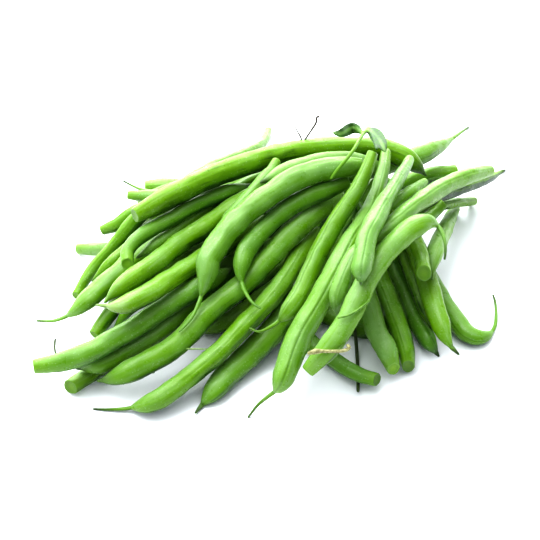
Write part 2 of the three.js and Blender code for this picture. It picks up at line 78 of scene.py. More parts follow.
def makeCamera():
    tilt = math.radians(cameraLook["tiltDegrees"])
    aim = Vector(cameraLook["aim"])
    back = Vector((0, -math.cos(tilt), math.sin(tilt)))
    data = bpy.data.cameras.new("beanCamera")
    data.lens = cameraLook["lensMm"]
    data.sensor_width = cameraLook["sensorMm"]
    data.clip_start = cameraLook["nearest"]
    camera = bpy.data.objects.new("beanCamera", data)
    camera.location = aim + back * cameraLook["distance"]
    camera.rotation_euler = (-back).to_track_quat("-Z", "Y").to_euler()
    scene.collection.objects.link(camera)
    scene.camera = camera


makeCamera()
scene.view_settings.view_transform = "Standard"
scene.view_settings.look = "High Contrast"
print("camera placed")

# Small helpers for node trees


def addNode(tree, kind, **settings):
    node = tree.nodes.new(kind)
    for name, value in settings.items():
        setattr(node, name, value)
    return node


def plug(tree, value, socket):
    # a value is either another node's output or a plain number or colour
    if isinstance(value, bpy.types.NodeSocket):
        tree.links.new(value, socket)
    else:
        socket.default_value = value


def calc(tree, operation, *values):
    node = addNode(tree, "ShaderNodeMath", operation=operation)
    for value, socket in zip(values, node.inputs):
        plug(tree, value, socket)
    return node.outputs[0]


def plus(tree, first, second):
    return calc(tree, "ADD", first, second)


def minus(tree, first, second):
    return calc(tree, "SUBTRACT", first, second)


def times(tree, first, second):
    return calc(tree, "MULTIPLY", first, second)


def vecCalc(tree, operation, *values):
    node = addNode(tree, "ShaderNodeVectorMath", operation=operation)
    for value, socket in zip(values, node.inputs):
        plug(tree, value, socket)
    return node.outputs["Value" if operation == "DOT_PRODUCT" else "Vector"]


def scaled(tree, vector, factor):
    node = addNode(tree, "ShaderNodeVectorMath", operation="SCALE")
    plug(tree, vector, node.inputs[0])
    plug(tree, factor, node.inputs["Scale"])
    return node.outputs["Vector"]


def bell(tree, value, width):
    # 1 where value is 0, falling smoothly to 0 past width
    share = calc(tree, "DIVIDE", value, width)
    return calc(tree, "EXPONENT", times(tree, times(tree, share, share), -1.0))


def ramp(tree, value, low, high, start=0.0, end=1.0):
    # start where value is at low or less, turning smoothly into end at high
    node = addNode(tree, "ShaderNodeMapRange", interpolation_type="SMOOTHSTEP")
    names = ("Value", "From Min", "From Max", "To Min", "To Max")
    for name, given in zip(names, (value, low, high, start, end)):
        plug(tree, given, node.inputs[name])
    return node.outputs["Result"]


def noiseAt(tree, vector, scale, detail=3.0, roughness=0.55):
    node = addNode(tree, "ShaderNodeTexNoise")
    plug(tree, vector, node.inputs["Vector"])
    node.inputs["Scale"].default_value = scale
    node.inputs["Detail"].default_value = detail
    node.inputs["Roughness"].default_value = roughness
    return node.outputs[0]


def newTree(name, inputs):
    # a tree that changes one shape into another; its inputs' identifiers come back by key
    tree = bpy.data.node_groups.new(name, "GeometryNodeTree")
    for side in ("OUTPUT", "INPUT"):
        tree.interface.new_socket(name="Geometry", in_out=side, socket_type="NodeSocketGeometry")
    identifiers = {}
    for key, (label, kind) in inputs.items():
        socket = tree.interface.new_socket(name=label, in_out="INPUT", socket_type="NodeSocket" + kind)
        identifiers[key] = socket.identifier
    return tree, identifiers


def namedValue(tree, name, kind="FLOAT"):
    node = addNode(tree, "GeometryNodeInputNamedAttribute", data_type=kind)
    node.inputs["Name"].default_value = name
    return node.outputs["Attribute"]


def storeValue(tree, shape, name, kind, value, domain="POINT"):
    node = addNode(tree, "GeometryNodeStoreNamedAttribute", data_type=kind, domain=domain)
    plug(tree, shape, node.inputs["Geometry"])
    node.inputs["Name"].default_value = name
    plug(tree, value, node.inputs["Value"])
    return node.outputs["Geometry"]


def smoothRail(tree, mesh, count):
    # a smooth curve through the rail's points
    rail = addNode(tree, "GeometryNodeMeshToCurve")
    plug(tree, mesh, rail.inputs["Mesh"])
    smooth = addNode(tree, "GeometryNodeCurveSplineType", spline_type="CATMULL_ROM")
    plug(tree, rail.outputs["Curve"], smooth.inputs["Curve"])
    dense = addNode(tree, "GeometryNodeResampleCurve")
    plug(tree, smooth.outputs["Curve"], dense.inputs["Curve"])
    dense.inputs["Count"].default_value = count
    return dense.outputs["Curve"]


def finished(tree, shape, material):
    # smooth shading, real faces and a material
    soft = addNode(tree, "GeometryNodeSetShadeSmooth")
    plug(tree, shape, soft.inputs["Geometry"])
    real = addNode(tree, "GeometryNodeRealizeInstances")
    plug(tree, soft.outputs["Geometry"], real.inputs["Geometry"])
    made = addNode(tree, "GeometryNodeSetMaterial")
    plug(tree, real.outputs["Geometry"], made.inputs["Geometry"])
    plug(tree, material, made.inputs["Material"])
    return made.outputs["Geometry"]


# The pod's shape follows a rule, so Geometry Nodes make it along a rail

podShape = {
    "aroundSteps": 36,
    "bodyRows": 104,
    "cutRows": 6,  # rows of the flat cut at the stem end
    "tipRows": 5,
    "railSteps": 400,
    "crowding": 0.30,  # radians by which rows of corners shift towards the two seams
    "cutShare": 0.955,  # width of the flat cut over that of the body beside it
    "cutLimit": 0.55,  # faces with more than this share of their corners on the cut belong to it
    "tipLength": 0.9,  # length of the rounded tip over the half-width there
    "flankShare": 0.90,  # half-width across the flanks over that across the seams
    "seamGroove": 0.020,  # depth of the seam line, as a share of the half-width
    "seamRidge": 0.55,  # height of the ridges beside it, as a share of that depth
    "seamLeast": 0.5,  # depth of the faintest seam over seamGroove
    "seamGain": 2.0,  # how much more of that depth a pod's own seam value adds
    "seamWidth": 0.085,  # as a sine of the angle from the seam
    "ridgePlace": 2.3,  # how far the ridges lie from the seam, in seam widths
    "ridgeWidth": 1.2,  # in seam widths
    "seedsFrom": (0.06, 0.20),  # shares of the length where the seeds begin to show
    "seedsTo": (0.66, 0.86),  # shares of the length where they fade
    "seedSharpness": 1.3,
    "flankSharpness": 1.4,  # the larger, the nearer to the flanks' middle the seeds show
    "patternReach": 37.0,  # pods take their waves from up to this many centimetres apart
    "waveScale": (0.7, 0.7, 0.85),
    "waveDetail": 2.5,
    "waveRoughness": 0.5,
    "rimLift": 0.22 * mm,
    "cutDish": 0.45 * mm,
    "cutBlend": 7 * mm,  # length over which a slanted cut fades into the body
    "cutTowards": (0.0, -0.62, 0.78),  # a slanted cut leans this way
    "paintedLightTowards": (-0.35, 0.10, 0.93),  # the skin is painted paler on the side that faces this way and darker on the other: painted light and painted shade
    "weldWithin": 0.004 * mm,
}
dropLook = {
    "perSquareMetre": 30000.0,
    "largestRadius": 0.75 * mm,
    "smallestShare": 0.3,  # radius of the smallest drop over the largest
    "rarity": 2.5,  # the larger, the fewer of the drops are large
    "flatness": 0.5,  # height of a drop over its radius
    "towards": (0.0, -0.3, 0.95),
    "facing": 0.15,  # least cosine between that direction and the normal of a face that holds drops
    "fineness": 2,
    "seed": 7,
}
podInputs = {
    "around": ("Steps around", "Int"),
    "rows": ("Rows along", "Int"),
    "swell": ("Seed swell", "Float"),
    "spacing": ("Seed spacing", "Float"),
    "seamDepth": ("Seam depth", "Float"),
    "waviness": ("Waviness", "Float"),
    "offset": ("Pattern offset", "Float"),
    "cutLean": ("Cut lean", "Float"),
    "low": ("Lowest corner", "Vector"),
    "high": ("Highest corner", "Vector"),
    "skin": ("Skin material", "Material"),
    "cut": ("Cut material", "Material"),
    "dropDensity": ("Drops per square metre", "Float"),
    "dropSize": ("Largest drop radius", "Float"),
    "water": ("Drop material", "Material"),
}


def addDrops(tree, skin, given):
    # drops of moisture; the pod's faces are wound inwards, so they come to lie on its underside
    normal = addNode(tree, "GeometryNodeInputNormal").outputs[0]
    upward = vecCalc(tree, "DOT_PRODUCT", normal, dropLook["towards"])
    spread = addNode(tree, "GeometryNodeDistributePointsOnFaces")
    plug(tree, skin, spread.inputs["Mesh"])
    plug(tree, calc(tree, "GREATER_THAN", upward, dropLook["facing"]), spread.inputs["Selection"])
    plug(tree, given["Drops per square metre"], spread.inputs["Density"])
    spread.inputs["Seed"].default_value = dropLook["seed"]
    bead = addNode(tree, "GeometryNodeMeshIcoSphere")
    bead.inputs["Radius"].default_value = 1.0
    bead.inputs["Subdivisions"].default_value = dropLook["fineness"]
    beads = addNode(tree, "GeometryNodeInstanceOnPoints")
    plug(tree, spread.outputs["Points"], beads.inputs["Points"])
    plug(tree, bead.outputs["Mesh"], beads.inputs["Instance"])
    plug(tree, spread.outputs["Rotation"], beads.inputs["Rotation"])
    chance = addNode(tree, "FunctionNodeRandomValue", data_type="FLOAT")
    chance.inputs[2].default_value = 0.0
    chance.inputs[3].default_value = 1.0
    radius = calc(tree, "POWER", chance.outputs[1], dropLook["rarity"])
    radius = plus(tree, times(tree, radius, 1 - dropLook["smallestShare"]), dropLook["smallestShare"])
    radius = times(tree, radius, given["Largest drop radius"])
    beadSize = addNode(tree, "ShaderNodeCombineXYZ")
    plug(tree, radius, beadSize.inputs["X"])
    plug(tree, radius, beadSize.inputs["Y"])
    plug(tree, times(tree, radius, dropLook["flatness"]), beadSize.inputs["Z"])
    plug(tree, beadSize.outputs[0], beads.inputs["Scale"])
    return finished(tree, beads.outputs["Instances"], given["Drop material"])


def makePodTree():
    tree, identifiers = newTree("podSkin", podInputs)
    given = addNode(tree, "NodeGroupInput").outputs
    result = addNode(tree, "NodeGroupOutput")
    rail = smoothRail(tree, given["Geometry"], podShape["railSteps"])
    railLength = addNode(tree, "GeometryNodeCurveLength")
    plug(tree, rail, railLength.inputs["Curve"])

    # a flat grid whose X runs along the pod and whose Y runs round it
    rowCount = plus(tree, given["Rows along"], podShape["cutRows"] + podShape["tipRows"])
    grid = addNode(tree, "GeometryNodeMeshGrid")
    plug(tree, rowCount, grid.inputs["Vertices X"])
    plug(tree, plus(tree, given["Steps around"], 1), grid.inputs["Vertices Y"])
    stored = storeValue(tree, grid.outputs["Mesh"], "UVMap", "FLOAT2", grid.outputs["UV Map"], "CORNER")

    place = addNode(tree, "ShaderNodeSeparateXYZ")
    plug(tree, addNode(tree, "GeometryNodeInputPosition").outputs[0], place.inputs[0])
    lastRow = minus(tree, rowCount, 1)
    row = calc(tree, "ROUND", times(tree, plus(tree, place.outputs["X"], 0.5), lastRow))
    turn = times(tree, plus(tree, place.outputs["Y"], 0.5), math.tau)
    crowd = times(tree, calc(tree, "SINE", times(tree, turn, 2.0)), -podShape["crowding"])
    angle = plus(tree, turn, crowd)
    cosine = calc(tree, "COSINE", angle)
    sine = calc(tree, "SINE", angle)

    # share of the body's length, and how far each row is drawn in at the two ends
    bodyRow = minus(tree, row, podShape["cutRows"])
    share = calc(tree, "DIVIDE", bodyRow, minus(tree, given["Rows along"], 1))
    share = calc(tree, "MINIMUM", calc(tree, "MAXIMUM", share, 0.0), 1.0)
    onCut = calc(tree, "LESS_THAN", row, podShape["cutRows"] - 0.5)
    onBody = minus(tree, 1.0, onCut)
    cutReach = times(tree, calc(tree, "DIVIDE", row, podShape["cutRows"] - 1), podShape["cutShare"])
    tipRow = minus(tree, row, minus(tree, lastRow, podShape["tipRows"]))
    tipShare = calc(tree, "MAXIMUM", calc(tree, "DIVIDE", tipRow, podShape["tipRows"]), 0.0)
    tipRest = calc(tree, "MAXIMUM", minus(tree, 1.0, calc(tree, "POWER", tipShare, 2.0)), 0.0)
    tipReach = calc(tree, "SQRT", tipRest)
    reach = plus(tree, times(tree, onCut, cutReach), times(tree, onBody, tipReach))

    # place, direction, half-width and seam direction along the rail
    def sample(name, kind):
        node = addNode(tree, "GeometryNodeSampleCurve", mode="FACTOR", data_type=kind)
        plug(tree, rail, node.inputs["Curves"])
        plug(tree, namedValue(tree, name, kind), node.inputs["Value"])
        plug(tree, share, node.inputs["Factor"])
        return node.outputs

    widthHere = sample("halfWidth", "FLOAT")
    centre = widthHere["Position"]
    tangent = widthHere["Tangent"]
    halfWidth = widthHere["Value"]
    seamRaw = sample("seamDirection", "FLOAT_VECTOR")["Value"]
    along = vecCalc(tree, "DOT_PRODUCT", seamRaw, tangent)
    seamAxis = vecCalc(tree, "NORMALIZE", vecCalc(tree, "SUBTRACT", seamRaw, scaled(tree, tangent, along)))
    flankAxis = vecCalc(tree, "CROSS_PRODUCT", tangent, seamAxis)

    # relief: a seam on each side, seeds that swell the flanks, and slow waves
    metresAlong = times(tree, share, railLength.outputs["Length"])
    fadeIn = ramp(tree, share, *podShape["seedsFrom"])
    fadeOut = ramp(tree, share, *podShape["seedsTo"], 1.0, 0.0)
    fullBody = times(tree, fadeIn, fadeOut)
    sideways = calc(tree, "ABSOLUTE", sine)
    groove = times(tree, bell(tree, sideways, podShape["seamWidth"]), given["Seam depth"])
    besides = minus(tree, sideways, podShape["seamWidth"] * podShape["ridgePlace"])
    ridge = bell(tree, besides, podShape["seamWidth"] * podShape["ridgeWidth"])
    ridge = times(tree, times(tree, ridge, given["Seam depth"]), podShape["seamRidge"])
    phase = plus(tree, calc(tree, "DIVIDE", metresAlong, given["Seed spacing"]), given["Pattern offset"])
    seeds = calc(tree, "COSINE", times(tree, phase, math.tau))
    seeds = plus(tree, times(tree, seeds, 0.5), 0.5)
    seeds = calc(tree, "POWER", seeds, podShape["seedSharpness"])
    seeds = times(tree, seeds, calc(tree, "POWER", sideways, podShape["flankSharpness"]))
    seeds = times(tree, times(tree, seeds, fullBody), given["Seed swell"])

    # a spot on the skin: two values run round the pod, the third counts centimetres along it
    skinSpot = addNode(tree, "ShaderNodeCombineXYZ")
    plug(tree, cosine, skinSpot.inputs["X"])
    plug(tree, sine, skinSpot.inputs["Y"])
    patternStart = times(tree, given["Pattern offset"], podShape["patternReach"])
    plug(tree, plus(tree, times(tree, metresAlong, 100.0), patternStart), skinSpot.inputs["Z"])
    waveSpot = vecCalc(tree, "MULTIPLY", skinSpot.outputs[0], podShape["waveScale"])
    wave = noiseAt(tree, waveSpot, 1.0, podShape["waveDetail"], podShape["waveRoughness"])
    waves = times(tree, minus(tree, wave, 0.5), times(tree, given["Waviness"], 2.0))

    relief = plus(tree, minus(tree, ridge, groove), plus(tree, seeds, waves))
    size = times(tree, times(tree, halfWidth, reach), plus(tree, 1.0, relief))
    seamPart = scaled(tree, seamAxis, times(tree, size, cosine))
    flankPart = scaled(tree, flankAxis, times(tree, times(tree, size, sine), podShape["flankShare"]))
    section = vecCalc(tree, "ADD", seamPart, flankPart)

    # the cut end is slightly dished with a raised rim and may slant, and the tip is rounded
    dish = times(tree, minus(tree, 1.0, calc(tree, "POWER", reach, 2.0)), podShape["cutDish"])
    cutShift = times(tree, minus(tree, dish, podShape["rimLift"]), onCut)
    tipShift = times(tree, times(tree, tipShare, halfWidth), podShape["tipLength"])
    leaning = vecCalc(tree, "DOT_PRODUCT", section, podShape["cutTowards"])
    leaning = times(tree, leaning, given["Cut lean"])
    leaning = times(tree, leaning, ramp(tree, metresAlong, 0.0, podShape["cutBlend"], 1.0, 0.0))
    shift = scaled(tree, tangent, plus(tree, plus(tree, cutShift, leaning), tipShift))
    position = vecCalc(tree, "ADD", vecCalc(tree, "ADD", centre, section), shift)
    position = vecCalc(tree, "MAXIMUM", position, given["Lowest corner"])
    position = vecCalc(tree, "MINIMUM", position, given["Highest corner"])

    # values that the skin's colours follow
    outward = vecCalc(tree, "NORMALIZE", section)
    # painted light: how far the skin faces the lamps' side, so that it can be painted paler there and
    # darker below
    paintedLight = vecCalc(tree, "DOT_PRODUCT", outward, podShape["paintedLightTowards"])
    stored = storeValue(tree, stored, "skinSpot", "FLOAT_VECTOR", skinSpot.outputs[0])
    numbers = {
        "lengthShare": share,
        "sideways": sideways,
        "seedSwell": seeds,
        "paintedLight": paintedLight,
        "cutReach": reach,
        "onCut": onCut,
    }
    for name, value in numbers.items():
        stored = storeValue(tree, stored, name, "FLOAT", value)
    move = addNode(tree, "GeometryNodeSetPosition")
    plug(tree, stored, move.inputs["Geometry"])
    plug(tree, position, move.inputs["Position"])
    closed = addNode(tree, "GeometryNodeMergeByDistance")
    plug(tree, move.outputs["Geometry"], closed.inputs["Geometry"])
    closed.inputs["Distance"].default_value = podShape["weldWithin"]
    skin = finished(tree, closed.outputs["Geometry"], given["Skin material"])
    cutMade = addNode(tree, "GeometryNodeSetMaterial")
    cutFaces = calc(tree, "GREATER_THAN", namedValue(tree, "onCut"), podShape["cutLimit"])
    plug(tree, skin, cutMade.inputs["Geometry"])
    plug(tree, cutFaces, cutMade.inputs["Selection"])
    plug(tree, given["Cut material"], cutMade.inputs["Material"])

    whole = addNode(tree, "GeometryNodeJoinGeometry")
    plug(tree, cutMade.outputs["Geometry"], whole.inputs["Geometry"])
    plug(tree, addDrops(tree, skin, given), whole.inputs["Geometry"])
    plug(tree, whole.outputs["Geometry"], result.inputs["Geometry"])
    return tree, identifiers


# A thin thread such as a tendril follows a rail and narrows or widens to its tip

threadShape = {
    "railSteps": 48,
    "aroundSteps": 10,
    "unevenScale": 450.0,
    "thinnest": 0.75,  # size where the unevenness is least
    "unevenness": 0.5,
}
threadInputs = {
    "radius": ("Radius", "Float"),
    "tipShare": ("Tip share", "Float"),
    "material": ("Material", "Material"),
}


def makeThreadTree():
    tree, identifiers = newTree("threadForm", threadInputs)
    given = addNode(tree, "NodeGroupInput").outputs
    result = addNode(tree, "NodeGroupOutput")
    rail = smoothRail(tree, given["Geometry"], threadShape["railSteps"])
    done = addNode(tree, "GeometryNodeSplineParameter").outputs["Factor"]
    uneven = addNode(tree, "ShaderNodeTexNoise")
    uneven.inputs["Scale"].default_value = threadShape["unevenScale"]
    size = minus(tree, 1.0, times(tree, done, minus(tree, 1.0, given["Tip share"])))
    bumps = times(tree, uneven.outputs[0], threadShape["unevenness"])
    size = times(tree, size, plus(tree, threadShape["thinnest"], bumps))
    ring = addNode(tree, "GeometryNodeCurvePrimitiveCircle")
    ring.inputs["Resolution"].default_value = threadShape["aroundSteps"]
    plug(tree, given["Radius"], ring.inputs["Radius"])
    body = addNode(tree, "GeometryNodeCurveToMesh")
    plug(tree, rail, body.inputs["Curve"])
    plug(tree, ring.outputs["Curve"], body.inputs["Profile Curve"])
    plug(tree, size, body.inputs["Scale"])
    body.inputs["Fill Caps"].default_value = True
    made = finished(tree, body.outputs["Mesh"], given["Material"])
    plug(tree, made, result.inputs["Geometry"])
    return tree, identifiers


# Materials


def readAttribute(tree, name):
    return addNode(tree, "ShaderNodeAttribute", attribute_name=name, attribute_type="GEOMETRY")


def readNumber(tree, name):
    return readAttribute(tree, name).outputs["Fac"]


def ownPlace(tree):
    # where a point lies, in the piece's own frame
    return addNode(tree, "ShaderNodeTexCoord").outputs["Object"]


def mixColour(tree, factor, first, second):
    node = addNode(tree, "ShaderNodeMix", data_type="RGBA", blend_type="MIX")
    plug(tree, factor, node.inputs[0])
    plug(tree, first, node.inputs[6])
    plug(tree, second, node.inputs[7])
    return node.outputs[2]


def addBump(tree, shader, height, distance, strength=0.6):
    bump = addNode(tree, "ShaderNodeBump")
    bump.inputs["Strength"].default_value = strength
    bump.inputs["Distance"].default_value = distance
    plug(tree, height, bump.inputs["Height"])
    plug(tree, bump.outputs[0], shader.inputs["Normal"])


def newMaterial(name):
    material = bpy.data.materials.new(name)
    material.use_nodes = True
    tree = material.node_tree
    return material, tree, tree.nodes["Principled BSDF"]


skinLook = {
    "deep": (0.009, 0.042, 0.0004, 1),
    "fresh": (0.122, 0.266, 0.002, 1),
    "pale": (0.185, 0.335, 0.090, 1),
    "cool": (0.080, 0.225, 0.038, 1),
    "blush": (0.300, 0.330, 0.190, 1),
    "neck": (0.150, 0.300, 0.012, 1),
    "tail": (0.022, 0.045, 0.010, 1),
    "seamLine": (0.022, 0.080, 0.002, 1),
    "speck": (0.270, 0.420, 0.180, 1),
    "streakStretch": (6.0, 6.0, 0.6),
    "patchStretch": (0.9, 0.9, 0.5),
    "mottleScale": 420.0,
    "grainScale": 1300.0,
    "wetScale": 240.0,
    "wetRange": (0.56, 0.68),
    "freshRange": (0.0, 0.5),  # tones over which deep green turns fresh green
    "paleRange": (0.5, 1.15),  # tones over which fresh green turns pale
    "seedRange": (0.0, 0.04),
    "seedShare": 0.22,  # how much paler the skin is over a seed
    "neckRange": (0.0, 0.12),  # shares of the length, here and in the next two
    "blushRange": (0.84, 0.93),
    "tailRange": (0.90, 1.0),
    "neckShare": 0.5,
    "patchShare": 1.15,  # how much large patches change the tone
    "mottleShare": 0.32,
    "streakShare": 0.75,
    "paintedLightShare": 0.42,  # how much paler the upper side is painted than the lower: painted light and painted shade
    "seamShare": 0.6,
    "rimShare": 0.25,  # how pale the skin is beside the seam line
    "lineWidth": 0.07,
    "rimPlace": 0.18,  # how far from the seam it is palest
    "speckScale": 700.0,
    "speckRange": (0.10, 0.26),
    "speckPatches": (0.35, 0.6),
    "speckShares": (0.1, 0.55),  # how clear the specks are outside and inside the patches
    "roughness": 0.35,
    "roughnessSpread": 0.07,
    "wetSheen": 0.14,  # how much less rough the wet spots are
    "dryTail": 0.2,  # how much rougher the tail is
    "subsurface": 0.18,
    "subsurfaceRadius": (0.7, 1.0, 0.15),
    "subsurfaceScale": 0.0016,
    "specular": 0.34,
    "bumpHeight": 0.36 * mm,
    "streakBump": 0.45,
    "mottleBump": 0.7,
    "grainBump": 0.12,
}


def makeSkin():
    material, tree, shader = newMaterial("podSkin")
    spot = readAttribute(tree, "skinSpot").outputs["Vector"]
    share = readNumber(tree, "lengthShare")
    sideways = readNumber(tree, "sideways")
    seamTone = readNumber(tree, "podSeam")
    own = ownPlace(tree)

    # faint streaks run with the pod; the spot's third value counts centimetres along it
    streaks = noiseAt(tree, vecCalc(tree, "MULTIPLY", spot, skinLook["streakStretch"]), 1.0, 4.0, 0.6)
    patches = noiseAt(tree, vecCalc(tree, "MULTIPLY", spot, skinLook["patchStretch"]), 1.0, 2.0)
    mottle = noiseAt(tree, own, skinLook["mottleScale"], 4.0, 0.65)
    grain = noiseAt(tree, own, skinLook["grainScale"], 2.0)
    wet = ramp(tree, noiseAt(tree, own, skinLook["wetScale"], 3.0), *skinLook["wetRange"])

    tone = readNumber(tree, "podTone")
    # the tone also takes painted light and painted shade: paler on the upper side, darker on the lower
    for value, middle, amount in (
        (patches, 0.5, skinLook["patchShare"]),
        (mottle, 0.5, skinLook["mottleShare"]),
        (streaks, 0.5, skinLook["streakShare"]),
        (readNumber(tree, "paintedLight"), 0.25, skinLook["paintedLightShare"]),
    ):
        tone = plus(tree, tone, times(tree, minus(tree, value, middle), amount))
    freshness = ramp(tree, tone, *skinLook["freshRange"])
    paleness = ramp(tree, tone, *skinLook["paleRange"])
    colour = mixColour(tree, freshness, skinLook["deep"], skinLook["fresh"])
    colour = mixColour(tree, paleness, colour, skinLook["pale"])
    colour = mixColour(tree, readNumber(tree, "podCoolness"), colour, skinLook["cool"])
    seeds = ramp(tree, readNumber(tree, "seedSwell"), *skinLook["seedRange"])
    colour = mixColour(tree, times(tree, seeds, skinLook["seedShare"]), colour, skinLook["pale"])
    neck = times(tree, ramp(tree, share, *skinLook["neckRange"], 1.0, 0.0), skinLook["neckShare"])
    colour = mixColour(tree, neck, colour, skinLook["neck"])
    blush = times(tree, readNumber(tree, "podBlush"), ramp(tree, share, *skinLook["blushRange"]))
    colour = mixColour(tree, blush, colour, skinLook["blush"])
    tail = times(tree, ramp(tree, share, *skinLook["tailRange"]), readNumber(tree, "tailTone"))
    colour = mixColour(tree, tail, colour, skinLook["tail"])
    seam = bell(tree, sideways, skinLook["lineWidth"])
    seam = times(tree, seam, times(tree, seamTone, skinLook["seamShare"]))
    colour = mixColour(tree, seam, colour, skinLook["seamLine"])
    rim = bell(tree, minus(tree, sideways, skinLook["rimPlace"]), skinLook["lineWidth"])
    rim = times(tree, rim, times(tree, seamTone, skinLook["rimShare"]))
    colour = mixColour(tree, rim, colour, skinLook["pale"])
    specks = addNode(tree, "ShaderNodeTexVoronoi")
    plug(tree, own, specks.inputs["Vector"])
    specks.inputs["Scale"].default_value = skinLook["speckScale"]
    dots = ramp(tree, specks.outputs["Distance"], *skinLook["speckRange"], 1.0, 0.0)
    dotShare = ramp(tree, patches, *skinLook["speckPatches"], *skinLook["speckShares"])
    dots = times(tree, dots, dotShare)
    colour = mixColour(tree, dots, colour, skinLook["speck"])
    plug(tree, colour, shader.inputs["Base Color"])

    spread = skinLook["roughnessSpread"]
    rough = plus(tree, ramp(tree, mottle, 0.25, 0.75, -spread, spread), skinLook["roughness"])
    rough = minus(tree, rough, times(tree, wet, skinLook["wetSheen"]))
    rough = plus(tree, rough, times(tree, tail, skinLook["dryTail"]))
    plug(tree, rough, shader.inputs["Roughness"])
    shader.inputs["Subsurface Weight"].default_value = skinLook["subsurface"]
    shader.inputs["Subsurface Radius"].default_value = skinLook["subsurfaceRadius"]
    shader.inputs["Subsurface Scale"].default_value = skinLook["subsurfaceScale"]
    shader.inputs["Specular IOR Level"].default_value = skinLook["specular"]
    height = times(tree, streaks, skinLook["streakBump"])
    height = plus(tree, height, times(tree, mottle, skinLook["mottleBump"]))
    height = plus(tree, height, times(tree, grain, skinLook["grainBump"]))
    addBump(tree, shader, height, skinLook["bumpHeight"])
    return material


cutLook = {
    "core": (0.190, 0.360, 0.008, 1),
    "flesh": (0.165, 0.330, 0.006, 1),
    "ring": (0.085, 0.210, 0.004, 1),
    "rim": (0.190, 0.350, 0.070, 1),
    "dull": (0.030, 0.090, 0.003, 1),
    "fleshRange": (0.15, 0.5),  # shares of the way from the middle to the edge, down to rimRange
    "ringPlace": 0.66,
    "ringWidth": 0.13,
    "rimRange": (0.80, 0.96),
    "grainScale": 2600.0,
    "roughness": (0.45, 0.65),
    "ringShare": 0.35,
    "dullShare": 0.85,
    "bumpHeight": 0.2 * mm,
    "bumpStrength": 0.7,
}


def makeCut():
    material, tree, shader = newMaterial("podCut")
    reach = readNumber(tree, "cutReach")
    grain = noiseAt(tree, ownPlace(tree), cutLook["grainScale"], 4.0)
    outwards = ramp(tree, reach, *cutLook["fleshRange"])
    colour = mixColour(tree, outwards, cutLook["core"], cutLook["flesh"])
    ring = bell(tree, minus(tree, reach, cutLook["ringPlace"]), cutLook["ringWidth"])
    colour = mixColour(tree, times(tree, ring, cutLook["ringShare"]), colour, cutLook["ring"])
    colour = mixColour(tree, ramp(tree, reach, *cutLook["rimRange"]), colour, cutLook["rim"])
    colour = mixColour(tree, ramp(tree, grain, 0.45, 0.8, 0.0, 0.35), colour, cutLook["ring"])
    dullness = minus(tree, 1.0, readNumber(tree, "cutTone"))
    colour = mixColour(tree, times(tree, dullness, cutLook["dullShare"]), colour, cutLook["dull"])
    plug(tree, colour, shader.inputs["Base Color"])
    plug(tree, ramp(tree, grain, 0.3, 0.7, *cutLook["roughness"]), shader.inputs["Roughness"])
    addBump(tree, shader, grain, cutLook["bumpHeight"], cutLook["bumpStrength"])
    return material


fineOverMottle = 4.5  # scale of a plain material's fine noise over that of its mottle
plainSpread = 0.08  # how far its roughness strays


def makePlain(name, look):
    # a mottled matt material for stalks and threads
    material, tree, shader = newMaterial(name)
    own = ownPlace(tree)
    mottle = noiseAt(tree, own, look["scale"], 4.0)
    fine = noiseAt(tree, own, look["scale"] * fineOverMottle, 3.0)
    colour = mixColour(tree, ramp(tree, mottle, 0.3, 0.7), look["dark"], look["light"])
    plug(tree, colour, shader.inputs["Base Color"])
    rough = ramp(tree, fine, 0.3, 0.7, look["roughness"] - plainSpread, look["roughness"] + plainSpread)
    plug(tree, rough, shader.inputs["Roughness"])
    addBump(tree, shader, plus(tree, mottle, times(tree, fine, 0.5)), look["bumpHeight"])
    return material


leafLook = {
    "dark": (0.012, 0.048, 0.003, 1),
    "light": (0.042, 0.125, 0.010, 1),
    "rib": (0.140, 0.270, 0.060, 1),
    "stalk": (0.120, 0.270, 0.012, 1),
    "ribShare": 0.8,
    "mottleScale": 420.0,
    "roughness": (0.42, 0.58),
    "bumpHeight": 0.3 * mm,
}


def makeLeaf():
    material, tree, shader = newMaterial("leafGreen")
    mottle = noiseAt(tree, ownPlace(tree), leafLook["mottleScale"], 4.0)
    colour = mixColour(tree, ramp(tree, mottle, 0.3, 0.7), leafLook["dark"], leafLook["light"])
    rib = times(tree, readNumber(tree, "ribShare"), leafLook["ribShare"])
    colour = mixColour(tree, rib, colour, leafLook["rib"])
    colour = mixColour(tree, readNumber(tree, "stalkShare"), colour, leafLook["stalk"])
    plug(tree, colour, shader.inputs["Base Color"])
    plug(tree, ramp(tree, mottle, 0.3, 0.7, *leafLook["roughness"]), shader.inputs["Roughness"])
    addBump(tree, shader, mottle, leafLook["bumpHeight"])
    return material


waterLook = {
    "Base Color": (0.62, 0.80, 0.55, 1),
    "Roughness": 0.06,
    "IOR": 1.33,
    "Transmission Weight": 0.75,
    "Specular IOR Level": 0.9,
}


def makeWater():
    material, tree, shader = newMaterial("waterDrop")
    for name, value in waterLook.items():
        shader.inputs[name].default_value = value
    return material


